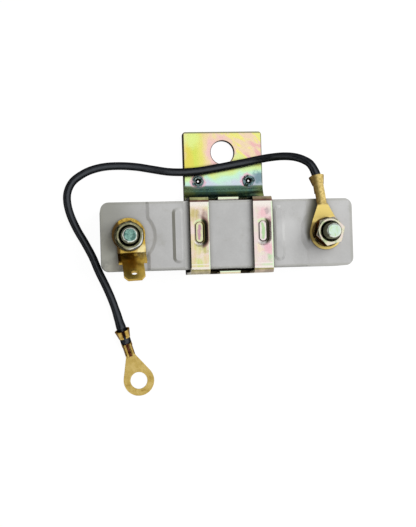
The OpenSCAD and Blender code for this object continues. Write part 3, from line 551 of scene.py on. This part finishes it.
def brass():
    g = Graph("brass")
    tone = g.noise(0.4, 5.0, 0.62, 0.5)
    colour = g.ramp(
        tone,
        [(0.3, (0.54, 0.36, 0.09)), (0.45, (0.7, 0.51, 0.15)), (0.62, (0.82, 0.62, 0.22))],
    )
    # Painted light: the stud's terminal is a brighter gold, as it reflects the light
    at_stud = g.step(g.x, 0.0, 10.0)
    colour = g.mix(g.math("MULTIPLY", at_stud, 0.9), colour, (1.0, 0.78, 0.24))
    freckles = g.step(g.noise(2.2, 4.0, 0.7), 0.58, 0.72, 0.0, 0.3)
    colour = g.mix(freckles, colour, (0.34, 0.21, 0.05))

    # The stud's terminal: painted brown shade and reflection below its tongue, left of the nut, and along
    # its barrel's sides
    ring = g.both(g.within(g.y, -2.8, 3.1, 0.4), g.step(g.x, 28.6, 27.4, 0.0, 0.6))
    across = g.across(STUD_RING, STUD_RING_TURN)
    sides = g.either(g.step(across, -0.2, -1.4, 0.0, 0.85), g.step(across, 1.2, 1.8, 0.0, 0.6))
    barrel = g.step(g.y, 8.0, 8.8)
    stained = g.mix(g.step(g.noise(1.3, 4.0, 0.7), 0.4, 0.62), (0.78, 0.6, 0.25), (0.44, 0.31, 0.09))
    colour = g.mix(g.math("MULTIPLY", g.both(at_stud, barrel), 0.75), colour, stained)
    terminal_shade = g.both(at_stud, g.either(ring, g.both(sides, barrel)))
    colour = g.mix(terminal_shade, colour, (0.22, 0.125, 0.025))

    # The free terminal's crimps: painted shade at their sides and towards the slit between their lobes
    across = g.math("ABSOLUTE", g.across(FREE_RING, FREE_RING_TURN))
    away = g.reach(*FREE_RING)
    grip = g.either(g.step(across, 1.35, 1.75), g.step(across, 0.8, 0.5))
    grip = g.both(grip, g.step(away, 14.2, 14.6))
    crimp = g.either(g.step(across, 1.05, 1.3), g.step(across, 0.55, 0.4))
    crimp = g.both(crimp, g.within(away, 8.6, 12.4, 0.2))
    at_free = g.step(g.y, -24.0, -26.0)
    patches = g.step(g.noise(1.2, 4.0, 0.7), 0.36, 0.6, 0.15, 0.75)
    tarnish = g.both(at_free, g.step(away, 8.4, 9.2), patches)
    colour = g.mix(tarnish, colour, (0.42, 0.25, 0.035))
    crimp_shade = g.both(at_free, g.either(grip, crimp))
    colour = g.mix(g.math("MULTIPLY", crimp_shade, 0.85), colour, (0.13, 0.055, 0.012))

    # The blade is painted with reflection and shade: painted highlights beside the nut's lower right and on
    # its tips, painted shade along its left side
    blade = g.both(g.step(g.x, -1.0, -3.0), g.step(g.z, 10.0, 12.0))
    lit = g.mix(0.6, colour, (0.66, 0.43, 0.05))
    ragged = g.both(g.step(g.noise(1.1, 4.0, 0.7), 0.42, 0.6), g.step(g.y, -1.0, 1.5, 0.0, 0.75))
    lit = g.mix(ragged, lit, (0.3, 0.18, 0.03))
    lit = g.spot(lit, -26.9, -4.3, 2.4, (1.0, 0.86, 0.44))
    painted_light_patches = g.step(g.reach(-27.1, -6.9), 2.2, 0.6, 0.0, 0.8)
    for x, y, size, amount in (
        (-27.7, -9.9, 2.0, 0.5), (-33.3, -8.5, 0.8, 1.0), (-25.9, -7.5, 0.7, 0.9), (-28.6, -5.5, 0.8, 0.9),
    ):
        painted_light_patches = g.either(painted_light_patches, g.step(g.reach(x, y), size, 0.2 * size, 0.0, amount))
    painted_light_patches = g.both(painted_light_patches, blade, g.step(g.noise(0.9), 0.3, 0.6, 0.4, 1.0))
    lit = g.mix(painted_light_patches, lit, (1.0, 0.68, 0.11))
    # Painted shade on the eye's left part and on the blade's left edge
    eye = g.both(g.step(g.x, -33.3, -34.2), g.step(g.y, 3.2, 1.8))
    edge = g.math("ADD", g.x, g.math("MULTIPLY", g.y, 0.044))
    eye = g.either(eye, g.both(g.step(edge, -33.0, -33.6), g.step(g.y, -7.6, -7.2)))
    lit = g.mix(eye, lit, (0.1, 0.06, 0.02))
    # Painted shade on faces turned towards -Y
    lit = g.mix(g.step(g.to_y, -0.3, -0.5, 0.0, 0.6), lit, (0.3, 0.18, 0.04))
    colour = g.mix(blade, colour, lit)
    # Painted shade: dark brown on faces turned sideways
    flank = g.step(g.to_z, 0.5, 0.1, 0.0, 0.85)
    colour = g.mix(flank, colour, (0.16, 0.085, 0.018))
    # Painted shade: darker in crevices
    crevice = g.step(g.shade(0.5), 0.3, 0.85)
    g.set(Base_Color=g.mix(crevice, (0.12, 0.05, 0.014), colour))
    g.set(Specular_Tint=g.mix(flank, (1, 1, 1), (0.3, 0.18, 0.05)))
    satin = g.step(g.y, -32.0, -34.0, 0.24, 0.42)
    satin = g.either(satin, g.math("MULTIPLY", at_stud, 0.46))
    dull = g.either(g.math("MULTIPLY", painted_light_patches, 0.55), g.both(at_stud, g.step(g.y, 8.0, 8.8, 0.8, 0.3)))
    g.set(Metallic=g.math("SUBTRACT", 1.0, dull))
    g.set(Roughness=g.math("ADD", g.math("MULTIPLY", tone, 0.1), satin))
    g.bump(g.noise(2.4, 3.0, 0.6), 0.01)
    return g.material


def copper():
    g = Graph("copper")
    tarnish = g.noise(1.5, 3.0, 0.6)
    g.set(Base_Color=g.ramp(tarnish, [(0.35, (0.1, 0.03, 0.015)), (0.7, (0.42, 0.16, 0.08))]))
    g.set(Metallic=1.0, Roughness=0.4)
    g.bump(tarnish, 0.02)
    return g.material


def resistance_wire():
    g = Graph("resistance_wire")
    tone = g.noise(1.0, 4.0, 0.6)
    g.set(Base_Color=g.ramp(tone, [(0.3, (0.14, 0.13, 0.12)), (0.7, (0.34, 0.32, 0.3))]))
    g.set(Metallic=1.0, Roughness=0.5)
    return g.material


def insulation():
    """Black plastic that is glossiest where it faces the eye and dull at its edges."""
    g = Graph("insulation")
    bloom = g.noise(0.5, 4.0, 0.6)
    black = g.ramp(bloom, [(0.35, (0.004, 0.0045, 0.006)), (0.75, (0.01, 0.011, 0.014))])
    # Painted shade: dark brown and dull inside the free crimp, as the shaded valley between its lobes
    crimp_valley_shade = g.within(g.reach(*FREE_RING), 14.7, 16.4, 0.15)
    g.set(Base_Color=g.mix(crimp_valley_shade, black, (0.045, 0.016, 0.006)))
    facing = g.add("ShaderNodeLayerWeight", {"Blend": 0.5}).outputs["Facing"]
    gloss = g.step(facing, 0.02, 0.32, 0.9, 0.02)
    g.set(Specular_IOR_Level=g.both(gloss, g.step(crimp_valley_shade, 0.0, 1.0, 1.0, 0.1)))
    g.set(Specular_Tint=(0.84, 0.91, 1.0, 1.0))
    g.set(Roughness=g.math("ADD", g.math("MULTIPLY", bloom, 0.16), 0.24))
    g.bump(g.noise(2.5, 3.0, 0.6), 0.012)
    return g.material


# The CAD pieces


def dress(node, material, edge=0.0):
    """Gives a CAD node its material and, with an edge in millimetres, rounds its edges."""
    piece = nodes[node]
    piece.data.materials.clear()
    piece.data.materials.append(material)
    if edge:
        weld = piece.modifiers.new("weld", "WELD")
        weld.merge_threshold = 0.002 * MM
        bevel = piece.modifiers.new("edges", "BEVEL")
        bevel.width = edge * MM
        bevel.segments = 3
        bevel.limit_method = "ANGLE"
        bevel.angle_limit = math.radians(28)
        bevel.use_clamp_overlap = True
        bevel.harden_normals = True


# Lead


def barrel_point(centre, turn, along, z):
    """A point on a terminal's barrel, at a distance from its ring's centre, in millimetres."""
    angle = math.radians(turn)
    return (centre[0] - along * math.sin(angle), centre[1] + along * math.cos(angle), z)


LEAD_D = 2.5
LEAD_ROUTE = [
    (26.4, 20.8, 13.9), (24.4, 22.5, 13.1), (21.8, 23.7, 11.4), (18.7, 24.3, 8.9),
    (15.3, 24.35, 6.2), (11.3, 23.9, 4.25), (6.5, 23.05, 3.3), (1.6, 22.2, 3.05),
    (-3, 21.4, 3.05), (-7.4, 20.75, 3.05), (-12, 20.45, 3), (-17, 20.7, 2.6),
    (-21.9, 21.6, 1.9), (-26.8, 22.5, 1.5), (-31.8, 22.9, 1.3), (-36.8, 22.7, 1.3),
    (-41.1, 21.7, 1.3), (-44.4, 20.1, 1.3), (-47, 18, 1.3), (-48.5, 15, 1.3),
    (-48.7, 11.7, 1.3), (-47.8, 7.7, 1.3), (-45.9, 3.2, 1.3), (-43.5, -1.2, 1.3),
    (-41.35, -5.5, 1.3), (-39.5, -10.2, 1.3), (-37.45, -14.7, 1.3), (-35.77, -18.87, 1.3),
    (-34.5, -22.7, 1.4), (-33.6, -26, 1.65),
]
LEAD_PATH = [
    barrel_point(STUD_RING, STUD_RING_TURN, STUD_INNER, STUD_LEAD_Z),
    barrel_point(STUD_RING, STUD_RING_TURN, STUD_MOUTH, STUD_LEAD_Z),
    *LEAD_ROUTE,
    barrel_point(FREE_RING, FREE_RING_TURN, FREE_MOUTH, FREE_LEAD_Z),
    barrel_point(FREE_RING, FREE_RING_TURN, FREE_INNER, FREE_LEAD_Z),
]
# Thickness of the insulation near each end, as distance from the end and share of the lead's
# diameter: it swells where it leaves a mouth, and at the free end between the two crimps
STUD_SWELL = [(0, 1.0), (4.2, 1.0), (5.2, 1.14), (8, 1.05), (11, 1.0)]
FREE_SWELL = [
    (0, 1.1), (0.35, 1.3), (2.0, 1.32), (2.6, 1.02), (4.3, 1.03), (5.2, 1.24), (8, 1.1), (12, 1.0),
]


def swell(distance, stops):
    """Share of the lead's diameter at a distance from one end, in millimetres."""
    for (a, low), (b, high) in zip(stops, stops[1:]):
        if distance < b:
            t = (distance - a) / (b - a)
            return low + (high - low) * t * t * (3 - 2 * t)
    return 1.0


def smooth_line(points, steps):
    """Points on a smooth curve through the given ones."""
    points = [Vector(p) for p in points]
    ends = [2 * points[0] - points[1], *points, 2 * points[-1] - points[-2]]
    line = []
    for a, b, c, d in zip(ends, ends[1:], ends[2:], ends[3:]):
        for k in range(steps):
            t = k / steps
            line.append(
                0.5
                * (
                    2 * b
                    + (c - a) * t
                    + (2 * a - 5 * b + 4 * c - d) * t**2
                    + (3 * b - a - 3 * c + d) * t**3
                )
            )
    return [*line, points[-1]]


def make_lead(material):
    line = smooth_line(LEAD_PATH, 12)
    curve = bpy.data.curves.new("lead", "CURVE")
    curve.dimensions = "3D"
    curve.bevel_depth = LEAD_D / 2 * MM
    curve.bevel_resolution = 5
    curve.use_fill_caps = True
    spline = curve.splines.new("POLY")
    spline.points.add(len(line) - 1)
    length = sum((b - a).length for a, b in zip(line, line[1:]))
    gone = 0.0
    for i, (point, place) in enumerate(zip(spline.points, line)):
        gone += (place - line[i - 1]).length if i else 0.0
        point.co = (*(place * MM), 1.0)
        point.radius = max(swell(gone, STUD_SWELL), swell(length - gone, FREE_SWELL))
    spline.use_smooth = True
    curve.materials.append(material)
    lead = bpy.data.objects.new("lead", curve)
    scene.collection.objects.link(lead)
    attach(lead, "root")
    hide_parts("lead_insulation")


# Studs, clinches and strands


def add_piece(name, points, faces, material, replaced=None):
    """A new piece from points in millimetres."""
    mesh = bpy.data.meshes.new(name)
    mesh.from_pydata([Vector(p) * MM for p in points], [], faces)
    mesh.materials.append(material)
    mesh.shade_smooth()
    piece = bpy.data.objects.new(name, mesh)
    scene.collection.objects.link(piece)
    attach(piece, "root")
    if replaced:
        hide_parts(replaced)
    return piece


def angles(sides):
    return [2 * math.pi * k / sides for k in range(sides)]


def skin(rings, sides):
    """Points and faces between rings, each a list of points; the two ends stay open."""
    points = [p for ring in rings for p in ring]
    faces = [
        (i * sides + k, i * sides + (k + 1) % sides, (i + 1) * sides + (k + 1) % sides, (i + 1) * sides + k)
        for i in range(len(rings) - 1)
        for k in range(sides)
    ]
    return points, faces


def lathe(rings, sides):
    """A skin with caps at both ends."""
    points, faces = skin(rings, sides)
    last = (len(rings) - 1) * sides
    return points, [tuple(range(sides))[::-1], *faces, tuple(range(last, last + sides))]


def make_stud(node, x, nut_top, material):
    """A stud with a real thread where it stands out of its nut."""
    pitch, crest, root, core = 0.8, 2.5, 2.04, 2.24
    flank_slope, chamfer, chamfer_slope = 2.6, 0.6, 1.1
    sides, steps = 48, 72
    inside_nut = 0.75
    start = nut_top - inside_nut

    def thread_r(z, angle):
        phase = (z / pitch - angle / (2 * math.pi)) % 1.0
        rise = min(1.0, flank_slope * min(phase, 1.0 - phase))
        return min(root + (crest - root) * rise, crest - chamfer + (STUD_END - z) * chamfer_slope)

    rings = []
    for z in (HEAD_TOP, start):
        rings.append([(x + core * math.cos(a), core * math.sin(a), z) for a in angles(sides)])
    for i in range(steps + 1):
        z = start + (STUD_END - start) * i / steps
        rings.append(
            [(x + thread_r(z, a) * math.cos(a), thread_r(z, a) * math.sin(a), z) for a in angles(sides)]
        )
    # The end is dished a little
    for r, dip in ((1.55, 0.0), (1.35, 0.03), (0.4, 0.05)):
        rings.append([(x + r * math.cos(a), r * math.sin(a), STUD_END - dip) for a in angles(sides)])
    points, faces = lathe(rings, sides)
    corner = HEAD_FLATS / 2 / math.cos(math.pi / 6)
    head = [
        [(x + corner * math.cos(a), corner * math.sin(a), z) for a in angles(6)]
        for z in (HEAD_LOW, HEAD_TOP)
    ]
    head_points, head_faces = lathe(head, 6)
    offset = len(points)
    faces += [tuple(i + offset for i in face) for face in head_faces]
    add_piece(node + "_threaded", points + head_points, faces, material, node)


def make_burr(name, place, ragged, material):
    """The torn rim that the clinching tool leaves round a clinch's hole."""
    sides, top = 36, 2.15
    rings = [[] for _ in range(5)]
    for a in angles(sides):
        tear = math.sin(3 * a + 1.3) + 0.7 * math.sin(5 * a + 0.4) + 0.5 * math.sin(11 * a + 2.0)
        lift = 0.5 + ragged * tear
        profile = [
            (0.3, top - 0.4), (0.75, top + 0.1 * lift), (1.15 + 0.12 * ragged * tear, top + 0.6 * lift),
            (1.5 + 0.2 * ragged * tear, top + 0.3 * lift), (1.75 + 0.3 * ragged * tear, top - 0.12),
        ]
        for ring, (r, z) in zip(rings, profile):
            ring.append((place[0] + r * math.cos(a), place[1] + r * math.sin(a), z))
    points, faces = skin(rings, sides)
    add_piece(name, points, faces, material)


def clinch_metal():
    g = Graph("clinch_metal")
    tone = g.noise(1.6, 4.0, 0.6, 0.8)
    colour = g.ramp(
        tone, [(0.36, (0.05, 0.07, 0.06)), (0.5, (0.17, 0.3, 0.32)), (0.64, (0.5, 0.54, 0.44))]
    )
    # Painted shade: near-black inside the clinch holes
    inside = g.math("MINIMUM", g.reach(*CLINCHES[0]), g.reach(*CLINCHES[1]))
    colour = g.mix(g.step(inside, 0.75, 1.15), (0.015, 0.015, 0.012), colour)
    g.set(Base_Color=colour, Metallic=1.0, Roughness=0.32)
    g.bump(tone, 0.06)
    return g.material


def make_strands(name, node, start, turned, length, material):
    """Seven twisted wires from the end of the insulation to the end of the crimp."""
    angle = math.radians(turned)
    ahead = Vector((math.sin(angle), -math.cos(angle), 0))
    side = ahead.cross(Vector((0, 0, 1))).normalized()
    up = side.cross(ahead)
    wire_r, pitch_r, sides, steps, twist = 0.17, 0.33, 8, 14, 1.4
    points, faces = [], []
    for w in range(7):
        rings = []
        for i in range(steps + 1):
            t = i / steps
            a = w * math.pi / 3 + twist * t
            middle = Vector(start) + ahead * (length * t)
            if w < 6:
                middle += pitch_r * (math.cos(a) * side + math.sin(a) * up)
            rings.append(
                [middle + wire_r * (math.cos(b) * side + math.sin(b) * up) for b in angles(sides)]
            )
        wire_points, wire_faces = lathe(rings, sides)
        faces += [tuple(i + len(points) for i in face) for face in wire_faces]
        points += wire_points
    return add_piece(name, points, faces, material, node)


# Floor and light


def background_rays(tree, mirror_share):
    """1 for the camera's rays, a share for rays that metal or glass sends on, 0 for the others."""
    rays = tree.nodes.new("ShaderNodeLightPath").outputs
    mirrored = tree.nodes.new("ShaderNodeMath")
    mirrored.operation = "MAXIMUM"
    tree.links.new(rays["Is Glossy Ray"], mirrored.inputs[0])
    tree.links.new(rays["Is Transmission Ray"], mirrored.inputs[1])
    weaker = tree.nodes.new("ShaderNodeMath")
    weaker.operation = "MULTIPLY"
    weaker.inputs[1].default_value = mirror_share
    tree.links.new(mirrored.outputs[0], weaker.inputs[0])
    seen = tree.nodes.new("ShaderNodeMath")
    seen.operation = "MAXIMUM"
    tree.links.new(rays["Is Camera Ray"], seen.inputs[0])
    tree.links.new(weaker.outputs[0], seen.inputs[1])
    return seen.outputs[0]


def make_floor():
    """A white floor that keeps a faint shadow of the part."""
    mirror_share, white_share, white_level = 0.55, 0.88, 1.08
    half_size, below = 3.0, 0.05 * MM
    material = bpy.data.materials.new("floor")
    material.use_nodes = True
    tree = material.node_tree
    tree.nodes.clear()
    share = tree.nodes.new("ShaderNodeMath")
    share.operation = "MULTIPLY"
    share.inputs[1].default_value = white_share
    tree.links.new(background_rays(tree, mirror_share), share.inputs[0])
    matte = tree.nodes.new("ShaderNodeBsdfDiffuse")
    matte.inputs["Color"].default_value = (0.9, 0.9, 0.9, 1.0)
    white = tree.nodes.new("ShaderNodeEmission")
    white.inputs["Strength"].default_value = white_level
    blend = tree.nodes.new("ShaderNodeMixShader")
    tree.links.new(share.outputs[0], blend.inputs[0])
    tree.links.new(matte.outputs[0], blend.inputs[1])
    tree.links.new(white.outputs[0], blend.inputs[2])
    output = tree.nodes.new("ShaderNodeOutputMaterial")
    tree.links.new(blend.outputs[0], output.inputs["Surface"])
    mesh = bpy.data.meshes.new("floor")
    corners = [(-1, -1), (1, -1), (1, 1), (-1, 1)]
    mesh.from_pydata([(x * half_size, y * half_size, -below) for x, y in corners], [], [(0, 1, 2, 3)])
    mesh.materials.append(material)
    floor = bpy.data.objects.new("floor", mesh)
    scene.collection.objects.link(floor)


def make_light():
    """An even white surrounding, weaker as a light than as it is seen, and one softbox."""
    world = bpy.data.worlds.new("studio")
    scene.world = world
    world.use_nodes = True
    tree = world.node_tree
    level = tree.nodes.new("ShaderNodeMapRange")
    level.inputs["To Min"].default_value = 0.39
    level.inputs["To Max"].default_value = 1.0
    tree.links.new(background_rays(tree, 1.0), level.inputs["Value"])
    background = tree.nodes["Background"]
    background.inputs["Color"].default_value = (1, 1, 1, 1)
    tree.links.new(level.outputs["Result"], background.inputs["Strength"])

    lamp = bpy.data.lights.new("softbox", "AREA")
    lamp.shape = "SQUARE"
    lamp.size = 0.32
    lamp.energy = 1.25
    box = bpy.data.objects.new("softbox", lamp)
    box.location = (0.22, 0.1, 0.28)
    box.rotation_euler = Vector(box.location).to_track_quat("Z", "Y").to_euler()
    box.visible_glossy = False
    scene.collection.objects.link(box)


def make_flag(name, level, corners):
    """A dark card beside the part that only reflections show."""
    material = bpy.data.materials.new(name)
    material.use_nodes = True
    tree = material.node_tree
    tree.nodes.clear()
    dark = tree.nodes.new("ShaderNodeEmission")
    dark.inputs["Strength"].default_value = level
    output = tree.nodes.new("ShaderNodeOutputMaterial")
    tree.links.new(dark.outputs[0], output.inputs["Surface"])
    mesh = bpy.data.meshes.new(name)
    mesh.from_pydata(corners, [], [(0, 1, 2, 3)])
    mesh.materials.append(material)
    flag = bpy.data.objects.new(name, mesh)
    flag.visible_camera = False
    flag.visible_diffuse = False
    flag.visible_shadow = False
    flag.visible_transmission = False
    scene.collection.objects.link(flag)


make_camera()
make_floor()
make_light()
make_flag("high_flag", 0.06, [(-0.9, 0.4, 0.4), (0.6, 0.4, 0.4), (0.6, 0.4, 0.7), (-0.9, 0.4, 0.7)])
make_flag("low_flag", 0.36, [(-0.9, 0.4, 0), (0.6, 0.4, 0), (0.6, 0.4, 0.4), (-0.9, 0.4, 0.4)])
make_flag("left_flag", 0.04, [(-0.4, -0.8, 0.18), (-0.4, 0.8, 0.18), (-0.4, 0.8, 2.0), (-0.4, -0.8, 2.0)])

BRASS = brass()
SHEET = plated_sheet()
FASTENER = plated_fastener()
THREAD = stud_thread()
COPPER = copper()
CLINCH = clinch_metal()
make_stud("left_stud", -STUD_X, nut_top=20.2, material=THREAD)
make_stud("right_stud", STUD_X, nut_top=19.9, material=THREAD)
make_burr("left_clinch_burr", CLINCHES[0], ragged=0.16, material=CLINCH)
make_burr("right_clinch_burr", CLINCHES[1], ragged=0.7, material=CLINCH)
stud_start = barrel_point(STUD_RING, STUD_RING_TURN, STUD_INNER, z=14.85)
make_strands("stud_strands", "stud_end_strands", stud_start, STUD_RING_TURN, length=4.2, material=COPPER)
free_start = barrel_point(FREE_RING, FREE_RING_TURN, FREE_INNER, z=1.05)
free_strands = make_strands(
    "free_strands", "free_end_strands", free_start, FREE_RING_TURN, length=4.2, material=COPPER
)
make_lead(insulation())
dress("ceramic_body", ceramic(), 0.3)
dress("cement_filling", cement())
dress("resistance_coil", resistance_wire())
dress("bracket", SHEET, 0.22)
for name in ("left_coil_lug", "right_coil_lug"):
    dress(name, FASTENER)
for name in ("left_nut", "right_nut", "left_spring_washer", "right_spring_washer"):
    dress(name, FASTENER, 0.12)
for name in ("blade_terminal", "stud_ring_terminal", "free_ring_terminal"):
    dress(name, BRASS)
